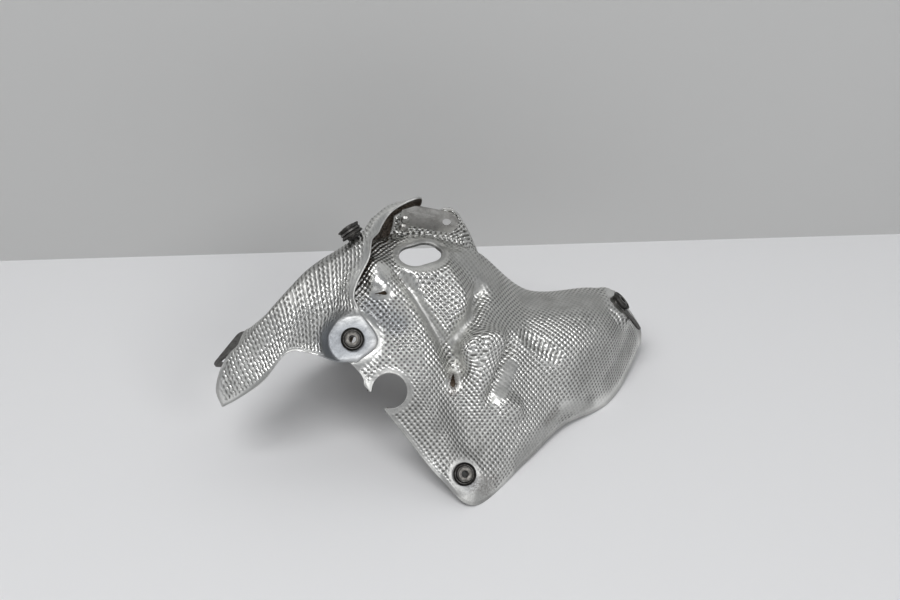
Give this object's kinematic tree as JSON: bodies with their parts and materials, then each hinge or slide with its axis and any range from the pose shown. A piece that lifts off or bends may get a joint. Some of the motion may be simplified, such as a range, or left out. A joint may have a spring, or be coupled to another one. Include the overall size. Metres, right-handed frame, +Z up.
{
  "type": "exhaust heat shield",
  "caption": "Exhaust heat shield of embossed aluminium sheet: domed main panel, lapped half-round sleeve panel, steel brackets and damped bolt bushes.",
  "frame": {"origin": "middle of the underside of the part's box, on the surface it lies on", "axes": "+Z up as it lies; -Y towards the front corner with its bush; +X towards the right lobe, and -X towards the sleeve"},
  "size_m": [0.3896, 0.267, 0.1976],
  "materials": {
    "embossed_aluminium": "embossed, worn",
    "bracket_steel": "satin",
    "dark_steel": "heat darkened",
    "collar_steel": "dull",
    "wire_mesh": "knitted wire",
    "rivet_steel": "dull"
  },
  "bodies": {
    "root": {"main_panel": "embossed_aluminium", "sleeve_panel": "embossed_aluminium", "top_bracket": "bracket_steel", "left_bracket": "bracket_steel", "right_bracket": "dark_steel", "upper_bracket": "bracket_steel", "top_bracket_rivets": "rivet_steel", "left_bracket_rivet": "rivet_steel", "upper_bracket_rivet": "rivet_steel", "tab_bush_outer_washer": "dark_steel", "tab_bush_inner_washer": "dark_steel", "tab_bush_mesh_ring": "wire_mesh", "tab_bush_collar": "collar_steel", "front_bush_outer_washer": "dark_steel", "front_bush_inner_washer": "dark_steel", "front_bush_mesh_ring": "wire_mesh", "front_bush_collar": "collar_steel", "upper_bush_outer_washer": "dark_steel", "upper_bush_inner_washer": "dark_steel", "upper_bush_mesh_ring": "wire_mesh", "upper_bush_collar": "collar_steel", "right_bush_outer_washer": "dark_steel", "right_bush_inner_washer": "dark_steel", "right_bush_mesh_ring": "wire_mesh", "right_bush_collar": "collar_steel"}
  },
  "joints": []
}
